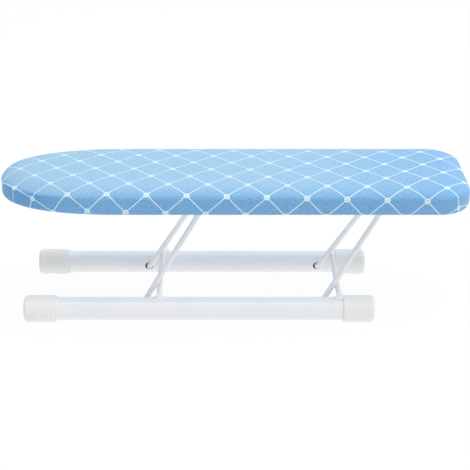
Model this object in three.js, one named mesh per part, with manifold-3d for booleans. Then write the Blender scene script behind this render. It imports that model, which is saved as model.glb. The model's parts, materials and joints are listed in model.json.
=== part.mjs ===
// Tabletop ironing board: a padded and covered board on two wire legs that fold over a frame of two tubes.
// Millimetres, +Z up. The origin lies on the table under the middle of the board. The nose points to -X,
// the square tail to +X, and the front foot tube is at -Y.

import * as THREE from 'three';
import { mergeVertices } from 'three/addons/utils/BufferGeometryUtils.js';
import Module from 'manifold-3d';

const wasm = await Module();
wasm.setup();

// Covered board
const boardLength = 502;
const boardWidth = 146;
const noseLength = 134;
const nosePower = 2.28; // squareness of the nose in plan, 2 for an ellipse
const tailCornerRadius = 36;
const coreThickness = 15;
const padThickness = 10.3;
const crownReach = 55; // from the edge of the board in to the level middle of the padded top
const crownPower = 2.7; // squareness of the crowned top's section
const fabricThickness = 0.8;
const coverFoldRadius = 4.3; // where the cover turns in under the board
const hemWidth = 20; // reach of the cover in under the board
const hemTurnback = 4; // reach of the turned edge back past the elastic
const hemCornerRadius = 4; // tightest turn of the hem in the tail corners
const elasticDiameter = 3;

// Foot frame
const tubeDiameter = 25;
const tubeWall = 1.2;
const tubeSpacing = 120; // between the tubes' axes
const noseReach = 128.9; // from the left leg's pivot to the nose end of the caps
const capWall = 1.7; // of the sleeve round the tube
const capLength = 34.6;
const capEndWall = 3;
const capEndRadius = 4.5;
const capRimRadius = 1.2; // round of the outer edge at the cap's open end

// Wires
const wireDiameter = 6;
const legLength = 131.5; // from pivot to pivot
const legLeanDegrees = 31.8; // from upright towards the tail
const legSpacing = 195;
const leftSaddleX = -28.4; // the left leg's top bar, from the middle of the board
const legTopSpread = 50.5; // between the arms where they meet the top bar
const legFootBend = 6;
const legTopBend = 9;
const legFootReach = 7; // of the foot into the tube, past its wall
const crossWireBow = 1.6; // of the cross wire's middle towards the nose
const crossWireOverlap = 2; // of the cross wire's ends past the tubes' axes
const weldLength = 14;
const weldWidth = 8;
const weldHeight = 4;

// Saddles and screws
const saddleLength = 30;
const saddleWidth = 12;
const saddleThickness = 1.2;
const saddleHoleSpacing = 20;
const screwHeadDiameter = 6.5;
const screwHeadHeight = 2.2;
const screwShankDiameter = 3.4;
const screwLength = 11; // under the head
const screwTipLength = 3;

// Clearances
const seatGap = 0.3; // between pieces that lie on each other
const hingeGap = 0.8; // round a leg's foot in its hole
const legSideGap = 0.5; // between a leg's arm and the tube beside it

// Fineness of the round shapes
const noseSteps = 24;
const cornerSteps = 6;
const crownSteps = 8;
const hemSteps = 4;
const rimSteps = 3;
const roundSides = 24;
const wireSides = 12;
const bendSteps = 5;
const bowSteps = 10;
const screwSides = 12;
const elasticSides = 6;
const mergeTolerance = 1e-4;

// Heights and places that follow from the sizes above
const wireRadius = wireDiameter / 2;
const tubeRadius = tubeDiameter / 2;
const capBore = tubeRadius + seatGap;
const capRadius = capBore + capWall;
const lean = THREE.MathUtils.degToRad(legLeanDegrees);
const tubeY = tubeSpacing / 2;
const tubeAxisZ = capRadius;
const upperPivotZ = tubeAxisZ + legLength * Math.cos(lean);
const coreUnderZ = upperPivotZ + wireRadius + seatGap;
const coreTopZ = coreUnderZ + coreThickness;
const padUnderZ = coreTopZ + seatGap;
const padTopZ = padUnderZ + padThickness;
const coverTopZ = padTopZ + seatGap + fabricThickness;
const coverUnderZ = coreUnderZ - seatGap - fabricThickness;
const coverCrownHeight = coverTopZ - padUnderZ; // the pad is crowned through its whole thickness
const coreInset = fabricThickness + seatGap;
const hemHollow = elasticDiameter + 2 * seatGap;
const hemInset = hemWidth - fabricThickness - hemHollow / 2;
const hemAxisZ = coverUnderZ - hemHollow / 2;

const leftPivotX = leftSaddleX - legLength * Math.sin(lean);
const legs = [
  { side: 'left', saddleX: leftSaddleX, pivotX: leftPivotX },
  { side: 'right', saddleX: leftSaddleX + legSpacing, pivotX: leftPivotX + legSpacing },
];
const armFootY = tubeY - tubeRadius - wireRadius - legSideGap;
const footEndY = tubeY - tubeRadius + tubeWall + legFootReach;
const crossWireRise = tubeRadius + seatGap + wireRadius; // of the cross wires above the tubes' axes
const crossWireEndY = tubeY + crossWireOverlap;

// The leaning arms lie against the cross wire, so its ends stand ahead of the pivot by this much.
const armAtCrossWire = crossWireRise / Math.cos(lean) / legLength;
const armCrossY = armFootY + (legTopSpread / 2 - armFootY) * armAtCrossWire;
const bowAtArm = crossWireBow * (1 - (armCrossY / crossWireEndY) ** 2);
const armToCrossWire = (wireDiameter + seatGap) / Math.cos(lean);
const crossWireAhead = crossWireRise * Math.tan(lean) + armToCrossWire + bowAtArm;

const capOpenX = legs[1].pivotX + crossWireAhead + wireRadius + 2 * seatGap;
const tailEndX = capOpenX + capLength;
const noseEndX = leftPivotX - noseReach;
const tubeEndGap = capEndWall + seatGap;
const tubeSides = [
  { side: 'front', y: -tubeY, inward: 1 },
  { side: 'rear', y: tubeY, inward: -1 },
];

// Materials
const whitePaint = new THREE.MeshStandardMaterial({ color: 0xe6eaee, roughness: 0.35, metalness: 0 });
const ivoryPlastic = new THREE.MeshStandardMaterial({ color: 0xe8e6df, roughness: 0.5, metalness: 0 });
const primedFibre = new THREE.MeshStandardMaterial({ color: 0xdfe3e7, roughness: 0.7, metalness: 0 });
const sponge = new THREE.MeshStandardMaterial({ color: 0xf1ead2, roughness: 1, metalness: 0 });
const blueCloth = new THREE.MeshStandardMaterial({ color: 0x9fcbec, roughness: 0.9, metalness: 0 });
const elasticCord = new THREE.MeshStandardMaterial({ color: 0xf4f4f2, roughness: 0.8, metalness: 0 });
const zincPlate = new THREE.MeshStandardMaterial({ color: 0xb9bdc2, roughness: 0.35, metalness: 1 });

// Solids for joining and cutting
function toSolid(geometry) {
  const bare = geometry.clone();
  bare.deleteAttribute('normal');
  bare.deleteAttribute('uv');
  const merged = mergeVertices(bare, mergeTolerance);
  const vertProperties = new Float32Array(merged.attributes.position.array);
  const triVerts = new Uint32Array(merged.index.array);
  return new wasm.Manifold(new wasm.Mesh({ numProp: 3, vertProperties, triVerts }));
}

function toGeometry(solid) {
  const mesh = solid.getMesh();
  const geometry = new THREE.BufferGeometry();
  geometry.setAttribute('position', new THREE.BufferAttribute(new Float32Array(mesh.vertProperties), 3));
  geometry.setIndex(new THREE.BufferAttribute(new Uint32Array(mesh.triVerts), 1));
  geometry.computeVertexNormals();
  return geometry;
}

function namedMesh(name, geometry, material) {
  const mesh = new THREE.Mesh(geometry, material);
  mesh.name = name;
  return mesh;
}

// Turned shape along +X from [radius, x] points. Radii are measured to the flats, and one flat faces down.
function turnedAlongX(profile, sides) {
  const toCorners = 1 / Math.cos(Math.PI / sides);
  const points = profile.map(([radius, x]) => new THREE.Vector2(radius * toCorners, x));
  const geometry = new THREE.LatheGeometry(points, sides, Math.PI / sides);
  return geometry.rotateZ(-Math.PI / 2);
}

// Points on an arc, as [first, second] coordinate pairs
function arcPairs(centre, radius, from, to, steps) {
  const arc = new THREE.EllipseCurve(centre[0], centre[1], radius, radius, from, to, to < from);
  return arc.getPoints(steps).map((point) => [point.x, point.y]);
}

// Point at an angle on an oval about the origin, squarer than an ellipse where its power is over 2
function ovalPoint(reachX, reachY, power, angle) {
  const along = Math.cos(angle);
  const across = Math.sin(angle);
  return [
    reachX * Math.sign(along) * Math.abs(along) ** (2 / power),
    reachY * Math.sign(across) * Math.abs(across) ** (2 / power),
  ];
}

// Plan outline of the board drawn in by an inset: oval nose, straight sides, rounded tail corners
function boardOutline(inset) {
  const halfWidth = boardWidth / 2 - inset;
  const corner = Math.max(tailCornerRadius - inset, hemCornerRadius);
  const cornerX = boardLength / 2 - inset - corner;
  const cornerY = halfWidth - corner;
  const noseX = noseLength - boardLength / 2;
  const quarter = Math.PI / 2;
  const nose = Array.from({ length: noseSteps + 1 }, (_, step) => {
    const angle = quarter + (step / noseSteps) * 2 * quarter;
    const [x, y] = ovalPoint(noseLength - inset, halfWidth, nosePower, angle);
    return new THREE.Vector2(noseX + x, y);
  });
  const frontCorner = new THREE.EllipseCurve(cornerX, -cornerY, corner, corner, -quarter, 0);
  const rearCorner = new THREE.EllipseCurve(cornerX, cornerY, corner, corner, 0, quarter);
  return [
    ...nose,
    ...frontCorner.getPoints(cornerSteps),
    ...rearCorner.getPoints(cornerSteps),
  ];
}

// Skin over board outlines stacked along [inset, z] pairs, with flat lids at its ends unless it is looped
function boardSkin(profile, looped = false) {
  const outlines = profile.map(([inset]) => boardOutline(inset));
  const count = outlines[0].length;
  const positions = [];
  outlines.forEach((outline, ring) => {
    outline.forEach((point) => positions.push(point.x, point.y, profile[ring][1]));
  });
  const faces = [];
  const spans = looped ? profile.length : profile.length - 1;
  for (let ring = 0; ring < spans; ring++) {
    const here = ring * count;
    const below = ((ring + 1) % profile.length) * count;
    for (let index = 0; index < count; index++) {
      const after = (index + 1) % count;
      faces.push(here + index, below + index, below + after);
      faces.push(here + index, below + after, here + after);
    }
  }
  if (!looped) {
    const last = (profile.length - 1) * count;
    for (const [a, b, c] of THREE.ShapeUtils.triangulateShape(outlines[0], [])) {
      faces.push(a, b, c);
    }
    for (const [a, b, c] of THREE.ShapeUtils.triangulateShape(outlines[profile.length - 1], [])) {
      faces.push(last + c, last + b, last + a);
    }
  }
  const geometry = new THREE.BufferGeometry();
  geometry.setAttribute('position', new THREE.Float32BufferAttribute(positions, 3));
  geometry.setIndex(faces);
  geometry.computeVertexNormals();
  return geometry;
}

// Path through hand-set stations, one step from each to the next
class StationPath extends THREE.Curve {
  constructor(stations) {
    super();
    this.stations = stations;
  }

  getPoint(t, target = new THREE.Vector3()) {
    const place = t * (this.stations.length - 1);
    const index = Math.min(Math.floor(place), this.stations.length - 2);
    return target.lerpVectors(this.stations[index], this.stations[index + 1], place - index);
  }

  getUtoTmapping(u) {
    return u;
  }
}

// Stations along a path whose corners are bent round
function bendCorners(corners, radii) {
  const stations = [corners[0]];
  for (let index = 1; index < corners.length - 1; index++) {
    const radius = radii[index - 1];
    const back = corners[index - 1].clone().sub(corners[index]).normalize();
    const ahead = corners[index + 1].clone().sub(corners[index]).normalize();
    const halfAngle = back.angleTo(ahead) / 2;
    const toCentre = back.clone().add(ahead).setLength(radius / Math.sin(halfAngle));
    const centre = corners[index].clone().add(toCentre);
    const start = corners[index].clone().addScaledVector(back, radius / Math.tan(halfAngle));
    const spoke = start.sub(centre);
    const travel = back.clone().setLength(-radius);
    for (let step = 0; step <= bendSteps; step++) {
      const turn = (step / bendSteps) * (Math.PI - 2 * halfAngle);
      const station = centre.clone().addScaledVector(spoke, Math.cos(turn));
      stations.push(station.addScaledVector(travel, Math.sin(turn)));
    }
  }
  stations.push(corners[corners.length - 1]);
  return stations;
}

function roundWire(path, steps) {
  const section = new THREE.Shape().absarc(0, 0, wireRadius, 0, 2 * Math.PI);
  return new THREE.ExtrudeGeometry(section, { steps, curveSegments: wireSides / 2, extrudePath: path });
}

// Foot tube along +X with a hole for each leg's foot in its inner side
function footTube(inward) {
  const startX = noseEndX + tubeEndGap;
  const endX = tailEndX - tubeEndGap;
  const bore = tubeRadius - tubeWall;
  const holeRadius = wireRadius + hingeGap;
  const wall = [[bore, startX], [tubeRadius, startX], [tubeRadius, endX], [bore, endX], [bore, startX]];
  let tube = toSolid(turnedAlongX(wall, roundSides));
  for (const leg of legs) {
    const drill = new THREE.CylinderGeometry(holeRadius, holeRadius, tubeDiameter, wireSides);
    drill.translate(leg.pivotX, inward * tubeRadius, 0);
    tube = tube.subtract(toSolid(drill));
  }
  return toGeometry(tube);
}

// End cap with its closed, rounded end at x = 0 and its open end at x = capLength
function endCap() {
  const endCentre = [capRadius - capEndRadius, capEndRadius];
  const rimCentre = [capRadius - capRimRadius, capLength - capRimRadius];
  const profile = [
    [0, 0],
    ...arcPairs(endCentre, capEndRadius, -Math.PI / 2, 0, hemSteps),
    ...arcPairs(rimCentre, capRimRadius, 0, Math.PI / 2, rimSteps),
    [capBore, capLength],
    [capBore, capEndWall],
    [0, capEndWall],
  ];
  return turnedAlongX(profile, roundSides);
}

// Full round bar that cuts room for a tube or a cap
function roomAlongX(radius, startX, endX) {
  return turnedAlongX([[0, startX], [radius, startX], [radius, endX], [0, endX]], roundSides);
}

// Cross wire along Y, bowed towards the nose, with a weld bead round each end on top of its tube
function crossWire(endX) {
  const ends = [-crossWireEndY, crossWireEndY].map((y) => new THREE.Vector3(endX, y, crossWireRise));
  const middle = new THREE.Vector3(endX - 2 * crossWireBow, 0, crossWireRise);
  const path = new THREE.QuadraticBezierCurve3(ends[0], middle, ends[1]);
  let wire = toSolid(roundWire(path, bowSteps));
  for (const y of [-tubeY, tubeY]) {
    const bead = new THREE.SphereGeometry(1, wireSides, wireSides / 2);
    bead.scale(weldLength / 2, weldWidth / 2, weldHeight).translate(endX, y, tubeRadius);
    const tubeRoom = roomAlongX(tubeRadius + seatGap, noseEndX, tailEndX).translate(0, y, 0);
    const capRoom = roomAlongX(capRadius + seatGap, capOpenX - seatGap, tailEndX).translate(0, y, 0);
    wire = wire.add(toSolid(bead).subtract(toSolid(tubeRoom)).subtract(toSolid(capRoom)));
  }
  return toGeometry(wire);
}

// Leg wire in its own upright plane: feet along Y in the tubes' holes, arms that close in, and a top bar
function legWire() {
  const topY = legTopSpread / 2;
  const corners = [
    new THREE.Vector3(0, -footEndY, 0),
    new THREE.Vector3(0, -armFootY, 0),
    new THREE.Vector3(0, -topY, legLength),
    new THREE.Vector3(0, topY, legLength),
    new THREE.Vector3(0, armFootY, 0),
    new THREE.Vector3(0, footEndY, 0),
  ];
  const stations = bendCorners(corners, [legFootBend, legTopBend, legTopBend, legFootBend]);
  return roundWire(new StationPath(stations), stations.length - 1);
}

function screwHoles(centreX, centreY, radius, fromZ, toZ) {
  return [-saddleHoleSpacing / 2, saddleHoleSpacing / 2].map((offset) => {
    const hole = new THREE.CylinderGeometry(radius, radius, toZ - fromZ, screwSides);
    return toSolid(hole.rotateX(Math.PI / 2).translate(centreX + offset, centreY, (fromZ + toZ) / 2));
  });
}

// The saddles sit on the straight of the top bar, next to its bends.
const armSlope = Math.atan2(armFootY - legTopSpread / 2, legLength);
const topBendReach = legTopBend * Math.tan((Math.PI / 2 - armSlope) / 2);
const saddleY = legTopSpread / 2 - topBendReach - saddleWidth / 2;
const saddleUnderZ = coreUnderZ - seatGap - saddleThickness;
const screwTipZ = saddleUnderZ - seatGap + screwLength;
const shankHoleRadius = screwShankDiameter / 2 + seatGap;

// Core board with a pilot hole for each saddle screw
function coreBoard() {
  const foldInner = coverFoldRadius - coreInset;
  const foldCentre = [coverFoldRadius, coreUnderZ + foldInner];
  const lowerEdge = arcPairs(foldCentre, foldInner, Math.PI, 1.5 * Math.PI, hemSteps);
  const drillFromZ = coreUnderZ - coreThickness;
  let core = toSolid(boardSkin([[coreInset, coreTopZ], ...lowerEdge]));
  for (const leg of legs) {
    for (const y of [-saddleY, saddleY]) {
      const holes = screwHoles(leg.saddleX, y, shankHoleRadius, drillFromZ, screwTipZ + seatGap);
      holes.forEach((hole) => {
        core = core.subtract(hole);
      });
    }
  }
  return toGeometry(core);
}

// [inset, z] pairs over the crowned top from its level middle to the side, a depth in from the cover's face
function crownPairs(depth) {
  return Array.from({ length: crownSteps + 1 }, (_, step) => {
    const angle = (step / crownSteps) * (Math.PI / 2);
    const [rise, out] = ovalPoint(coverCrownHeight - depth, crownReach - depth, crownPower, angle);
    return [crownReach - out, padUnderZ + rise];
  });
}

// Sponge pad, crowned from its level middle down to the core board all round
function spongePad() {
  return boardSkin(crownPairs(coreInset));
}

// Cover: over the pad, down the sides, in under the board and round the elastic, then back inside
function fabricCover() {
  const fold = [coverFoldRadius, coverUnderZ + coverFoldRadius];
  const hem = [hemInset, hemAxisZ];
  const hemRadius = hemHollow / 2;
  const quarter = Math.PI / 2;
  const mouth = hemInset - hemTurnback;
  return boardSkin([
    ...crownPairs(0),
    ...arcPairs(fold, coverFoldRadius, 2 * quarter, 3 * quarter, hemSteps),
    ...arcPairs(hem, hemRadius, quarter, -quarter, hemSteps),
    [mouth, hemAxisZ - hemRadius],
    [mouth, hemAxisZ - hemRadius - fabricThickness],
    ...arcPairs(hem, hemRadius + fabricThickness, -quarter, quarter, hemSteps),
    ...arcPairs(fold, coverFoldRadius - fabricThickness, 3 * quarter, 2 * quarter, hemSteps),
    ...crownPairs(fabricThickness).reverse(),
  ]);
}

function hemElastic() {
  const around = arcPairs([hemInset, hemAxisZ], elasticDiameter / 2, 0, 2 * Math.PI, elasticSides);
  return boardSkin(around.slice(0, elasticSides), true);
}

// Saddle in a leg's XZ plane, with its tabs under the core board and its trough round the top bar
function saddle(centreX, centreY) {
  const trough = wireRadius + seatGap;
  const outer = trough + saddleThickness;
  const half = saddleLength / 2;
  const tabTop = coreUnderZ - seatGap;
  const outline = new THREE.Shape();
  outline.moveTo(-half, tabTop);
  outline.lineTo(-half, saddleUnderZ);
  outline.lineTo(-outer, saddleUnderZ);
  outline.lineTo(-outer, upperPivotZ);
  outline.absarc(0, upperPivotZ, outer, Math.PI, 2 * Math.PI);
  outline.lineTo(outer, saddleUnderZ);
  outline.lineTo(half, saddleUnderZ);
  outline.lineTo(half, tabTop);
  outline.lineTo(trough, tabTop);
  outline.lineTo(trough, upperPivotZ);
  outline.absarc(0, upperPivotZ, trough, 2 * Math.PI, Math.PI, true);
  outline.lineTo(-trough, tabTop);
  const options = { depth: saddleWidth, bevelEnabled: false, curveSegments: bendSteps };
  const strip = new THREE.ExtrudeGeometry(outline, options);
  strip.rotateX(Math.PI / 2).translate(centreX, centreY + saddleWidth / 2, 0);
  const holes = screwHoles(centreX, centreY, shankHoleRadius, saddleUnderZ - saddleThickness, coreUnderZ);
  return toGeometry(holes.reduce((solid, hole) => solid.subtract(hole), toSolid(strip)));
}

// Screw pointing up, with the underside of its head at z = 0
function saddleScrew() {
  const headRadius = screwHeadDiameter / 2;
  const shankRadius = screwShankDiameter / 2;
  const points = [
    [0, -screwHeadHeight],
    [headRadius - screwHeadHeight / 2, -screwHeadHeight],
    [headRadius, -screwHeadHeight / 2],
    [headRadius, 0],
    [shankRadius, 0],
    [shankRadius, screwLength - screwTipLength],
    [0, screwLength],
  ];
  const profile = points.map(([radius, z]) => new THREE.Vector2(radius, z));
  return new THREE.LatheGeometry(profile, screwSides).rotateX(Math.PI / 2);
}

// Assembly
const ironingBoard = new THREE.Group();

for (const { side, y, inward } of tubeSides) {
  const foot = new THREE.Group();
  foot.position.set(0, y, tubeAxisZ);
  foot.add(namedMesh(`${side}_foot_tube`, footTube(inward), whitePaint));
  const leftCap = namedMesh(`${side}_left_cap`, endCap(), ivoryPlastic);
  leftCap.position.x = noseEndX;
  const rightCap = namedMesh(`${side}_right_cap`, endCap(), ivoryPlastic);
  rightCap.position.x = tailEndX;
  rightCap.rotation.z = Math.PI;
  foot.add(leftCap, rightCap);
  ironingBoard.add(foot);
}

for (const { side, saddleX, pivotX } of legs) {
  const cross = namedMesh(`${side}_cross_wire`, crossWire(pivotX + crossWireAhead), whitePaint);
  cross.position.z = tubeAxisZ;
  const leg = new THREE.Group();
  leg.position.set(pivotX, 0, tubeAxisZ);
  leg.rotation.y = lean;
  leg.add(namedMesh(`${side}_leg_wire`, legWire(), whitePaint));
  ironingBoard.add(cross, leg);
  for (const { side: tubeSide, inward } of tubeSides) {
    const y = -inward * saddleY;
    const name = `${side}_${tubeSide}_saddle`;
    ironingBoard.add(namedMesh(name, saddle(saddleX, y), zincPlate));
    for (const [end, offset] of [['nose', -saddleHoleSpacing / 2], ['tail', saddleHoleSpacing / 2]]) {
      const screw = namedMesh(`${name}_${end}_screw`, saddleScrew(), zincPlate);
      screw.position.set(saddleX + offset, y, saddleUnderZ - seatGap);
      ironingBoard.add(screw);
    }
  }
}

ironingBoard.add(namedMesh('core_board', coreBoard(), primedFibre));
ironingBoard.add(namedMesh('sponge_pad', spongePad(), sponge));
ironingBoard.add(namedMesh('fabric_cover', fabricCover(), blueCloth));
ironingBoard.add(namedMesh('hem_elastic', hemElastic(), elasticCord));

export default ironingBoard;
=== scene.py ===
import bmesh
import bpy
import json
import math
from bisect import bisect_right
from mathutils import Matrix, Vector, noise


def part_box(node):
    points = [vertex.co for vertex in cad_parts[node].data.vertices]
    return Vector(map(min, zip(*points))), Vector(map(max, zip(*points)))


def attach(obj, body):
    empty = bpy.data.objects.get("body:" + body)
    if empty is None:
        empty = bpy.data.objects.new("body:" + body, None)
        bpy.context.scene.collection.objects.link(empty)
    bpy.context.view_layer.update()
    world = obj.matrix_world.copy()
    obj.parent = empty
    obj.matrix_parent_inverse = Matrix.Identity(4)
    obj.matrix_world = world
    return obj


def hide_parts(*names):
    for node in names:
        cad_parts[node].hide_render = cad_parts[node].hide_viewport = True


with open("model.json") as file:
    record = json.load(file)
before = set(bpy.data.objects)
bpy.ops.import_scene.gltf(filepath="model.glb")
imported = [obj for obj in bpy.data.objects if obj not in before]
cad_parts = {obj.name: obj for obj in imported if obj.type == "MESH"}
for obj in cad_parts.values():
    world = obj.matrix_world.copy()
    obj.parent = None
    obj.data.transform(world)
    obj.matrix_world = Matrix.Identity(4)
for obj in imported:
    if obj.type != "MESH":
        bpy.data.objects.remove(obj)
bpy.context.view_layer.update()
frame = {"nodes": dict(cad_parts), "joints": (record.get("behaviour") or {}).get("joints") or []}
scene = bpy.context.scene
joints = {joint["name"]: Vector(joint["pos_m"]) for joint in frame["joints"]}
print("frame loaded:", len(frame["nodes"]), "nodes")


# Camera

photoView = {
    "place": (0.0026, -1.287, 0.649),
    "tiltDown": 24.06,  # degrees
    "focal": 1270.0,  # pixels
    "image": 470.0,  # pixels
    "sensor": 36.0,  # millimetres
    "offAxis": 0.5,  # pixels that the optical axis lies right of and below the middle
}


def placeCamera(view):
    data = bpy.data.cameras.new("photoCamera")
    data.sensor_width = view["sensor"]
    data.lens = view["focal"] / view["image"] * view["sensor"]
    data.shift_x = -view["offAxis"] / view["image"]
    data.shift_y = view["offAxis"] / view["image"]
    camera = bpy.data.objects.new("photoCamera", data)
    camera.location = view["place"]
    camera.rotation_euler = (math.radians(90 - view["tiltDown"]), 0, 0)
    scene.collection.objects.link(camera)
    scene.camera = camera


placeCamera(photoView)
print("camera placed")


# Node helpers for the finishes

def newFinish(name, sockets):
    finish = bpy.data.materials.new(name)
    finish.use_nodes = True
    shader = finish.node_tree.nodes["Principled BSDF"]
    for socket, value in sockets.items():
        shader.inputs[socket].default_value = value
    return finish


def put(finish, kind, inputs, **fields):
    tree = finish.node_tree
    node = tree.nodes.new(kind)
    for field, value in fields.items():
        setattr(node, field, value)
    for key, value in inputs.items():
        if isinstance(value, bpy.types.NodeSocket):
            tree.links.new(value, node.inputs[key])
        else:
            node.inputs[key].default_value = value
    return node


def figure(finish, operation, first, second=0.0):
    return put(finish, "ShaderNodeMath", {0: first, 1: second}, operation=operation).outputs[0]


def ramp(finish, value, low, high, lowOut, highOut):
    inputs = {"Value": value, "From Min": low, "From Max": high, "To Min": lowOut, "To Max": highOut}
    return put(finish, "ShaderNodeMapRange", inputs, interpolation_type="SMOOTHSTEP").outputs["Result"]


def blendColour(finish, factor, first, second):
    first, second = [(*colour, 1) if isinstance(colour, tuple) else colour for colour in (first, second)]
    inputs = {"Factor": factor, 6: first, 7: second}  # the colour sockets share their names with others
    return put(finish, "ShaderNodeMix", inputs, data_type="RGBA").outputs[2]


def grain(finish, place, scale, detail, roughness):
    inputs = {"Vector": place, "Scale": scale, "Detail": detail, "Roughness": roughness}
    return put(finish, "ShaderNodeTexNoise", inputs).outputs["Fac"]


def patches(finish, place, look, name):  # 0 to 1 between two levels of one of the look's noises
    return ramp(finish, grain(finish, place, *look[name]), *look[name + "Spread"], 0, 1)


def objectPlace(finish):
    return put(finish, "ShaderNodeTexCoord", {}).outputs["Object"]


def feed(finish, socket, output):
    finish.node_tree.links.new(output, finish.node_tree.nodes["Principled BSDF"].inputs[socket])


def tint(finish, factor, look, first, second):  # the base colour, from one of the look's colours to another
    feed(finish, "Base Color", blendColour(finish, factor, look[first], look[second]))


def roughen(finish, factor, look):
    feed(finish, "Roughness", ramp(finish, factor, 0, 1, *look["roughness"]))


def emboss(finish, height, strength, depth):
    node = put(finish, "ShaderNodeBump", {"Height": height, "Strength": strength, "Distance": depth})
    feed(finish, "Normal", node.outputs["Normal"])


# Finishes
# A noise is (scale, detail, roughness), a spread the levels where its patches start and end,
# and a bump (strength, depth)

clothLook = {
    "blue": (0.145, 0.400, 0.745), "deepBlue": (0.101, 0.310, 0.622),  # the cloth's colours with no painted light; round the front of the nose they stand alone, as painted shade
    "printWhite": (0.64, 0.85, 0.95),
    "paintedLitBlue": (0.300, 0.528, 0.732), "paintedLitDeep": (0.241, 0.454, 0.651),  # painted highlight: paler on the top, where the light falls most
    # painted highlight on the print along the top
    "paintedLitWhite": (0.595, 0.765, 0.87),
    "sideLightShare": 0.37,  # share of the top's painted light that the sides have; the print there gets none of its painted light
    "ringGrey": (0.40, 0.56, 0.68),
    "pitch": 0.02942,  # between the lattice's lines
    "rowTurn": -1.55,  # degrees from the board's length to the rows of dots
    "columnTurn": -3.27,  # degrees from its width to their columns, as the cloth was pulled askew
    "crossing": (0.07908, -0.03192),  # where two lines meet, on the flat cut
    "lineWidth": 0.00104, "lineBlur": 0.00018,
    "dotRadius": 0.0032, "ringRadius": 0.0014, "ringReach": 0.00054,  # the grey ring fades out this far away
    "slub": (520, 2, 0.5), "slubSpread": (0.4, 0.6),  # unevenness of the yarn
    "thread": 0.00052, "weaveBump": (0.25, 0.00012),
    "roughness": (0.78, 0.9),
}


def clothFinish(look):
    finish = newFinish("latticeCotton", {
        "Specular IOR Level": 0.4, "Sheen Weight": 0.26, "Sheen Roughness": 0.5,
    })
    cut = put(finish, "ShaderNodeUVMap", {}, uv_map="flatCut").outputs["UV"]
    shift = {0: cut, 1: (*look["crossing"], 0)}
    centred = put(finish, "ShaderNodeVectorMath", shift, operation="SUBTRACT").outputs[0]
    row = math.radians(look["rowTurn"])
    column = math.radians(look["columnTurn"])
    half = look["pitch"] / 2
    toLine = []
    for lean in (1, -1):  # the lines lie along both diagonals of the dots' rows and columns
        axis = Vector((math.cos(column) - lean * math.sin(row), math.sin(column) + lean * math.cos(row), 0))
        axis /= math.sqrt(2) * math.cos(column - row)
        along = put(finish, "ShaderNodeVectorMath", {0: centred, 1: axis}, operation="DOT_PRODUCT")
        shifted = figure(finish, "ADD", along.outputs["Value"], half)
        folded = figure(finish, "FLOORED_MODULO", shifted, look["pitch"])
        toLine.append(figure(finish, "ABSOLUTE", figure(finish, "SUBTRACT", folded, half)))
    nearest = figure(finish, "MINIMUM", toLine[0], toLine[1])
    squares = [figure(finish, "MULTIPLY", side, side) for side in toLine]
    toDot = figure(finish, "SQRT", figure(finish, "ADD", squares[0], squares[1]))
    blur = look["lineBlur"]
    line = ramp(finish, nearest, look["lineWidth"] / 2 - blur, look["lineWidth"] / 2 + blur, 1, 0)
    dot = ramp(finish, toDot, look["dotRadius"] - blur, look["dotRadius"] + blur, 1, 0)
    offRing = figure(finish, "ABSOLUTE", figure(finish, "SUBTRACT", toDot, look["ringRadius"]))
    ring = ramp(finish, offRing, 0, look["ringReach"], 1, 0)
    printed = figure(finish, "MAXIMUM", line, dot)
    mottle = patches(finish, cut, look, "slub")
    # painted light and shade: paler cloth and print on the top, deeper blue round the nose's front and on the
    # tail's top, as the light falls
    paintedLight = put(finish, "ShaderNodeAttribute", {}, attribute_name="paintedLight").outputs["Fac"]
    blue = blendColour(finish, paintedLight, look["blue"], look["paintedLitBlue"])
    deepBlue = blendColour(finish, paintedLight, look["deepBlue"], look["paintedLitDeep"])
    paintedLitInk = ramp(finish, paintedLight, look["sideLightShare"], 1, 0, 1)
    white = blendColour(finish, paintedLitInk, look["printWhite"], look["paintedLitWhite"])
    ground = blendColour(finish, mottle, blue, deepBlue)
    ink = blendColour(finish, ring, white, look["ringGrey"])
    feed(finish, "Base Color", blendColour(finish, printed, ground, ink))
    weave = {0: cut, "Scale": math.pi / look["thread"]}
    woven = put(finish, "ShaderNodeVectorMath", weave, operation="SCALE").outputs[0]
    threads = put(finish, "ShaderNodeSeparateXYZ", {"Vector": woven}).outputs
    warp = figure(finish, "SINE", threads["X"])
    weft = figure(finish, "SINE", threads["Y"])
    emboss(finish, figure(finish, "MULTIPLY", warp, weft), *look["weaveBump"])
    roughen(finish, mottle, look)
    return finish


paintLook = {
    "white": (0.88, 0.887, 0.90), "shade": (0.855, 0.867, 0.885), "roughness": (0.3, 0.42),
    "cloud": (28, 3, 0.5), "cloudSpread": (0.35, 0.65),
    "peel": (520, 2, 0.5), "peelSpread": (0.3, 0.7), "peelBump": (0.06, 0.0002),
}


def paintFinish(look):
    finish = newFinish("whitePaint", {"Coat Weight": 0.3, "Coat Roughness": 0.12})
    place = objectPlace(finish)
    cloud = patches(finish, place, look, "cloud")
    tint(finish, cloud, look, "white", "shade")
    peel = grain(finish, place, *look["peel"])
    feed(finish, "Roughness", ramp(finish, peel, *look["peelSpread"], *look["roughness"]))
    emboss(finish, peel, *look["peelBump"])
    return finish


capLook = {
    "ivory": (0.87, 0.86, 0.84), "milk": (0.845, 0.838, 0.815), "roughness": (0.42, 0.55),
    "flow": (60, 4, 0.6), "flowSpread": (0.35, 0.65), "matt": (1800, 2, 0.5), "mattBump": (0.12, 0.0002),
}


def capFinish(look):
    finish = newFinish("ivoryPlastic", {"Subsurface Weight": 0.08, "Subsurface Scale": 0.002})
    place = objectPlace(finish)
    flow = patches(finish, place, look, "flow")
    tint(finish, flow, look, "ivory", "milk")
    roughen(finish, flow, look)
    emboss(finish, grain(finish, place, *look["matt"]), *look["mattBump"])
    return finish


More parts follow.
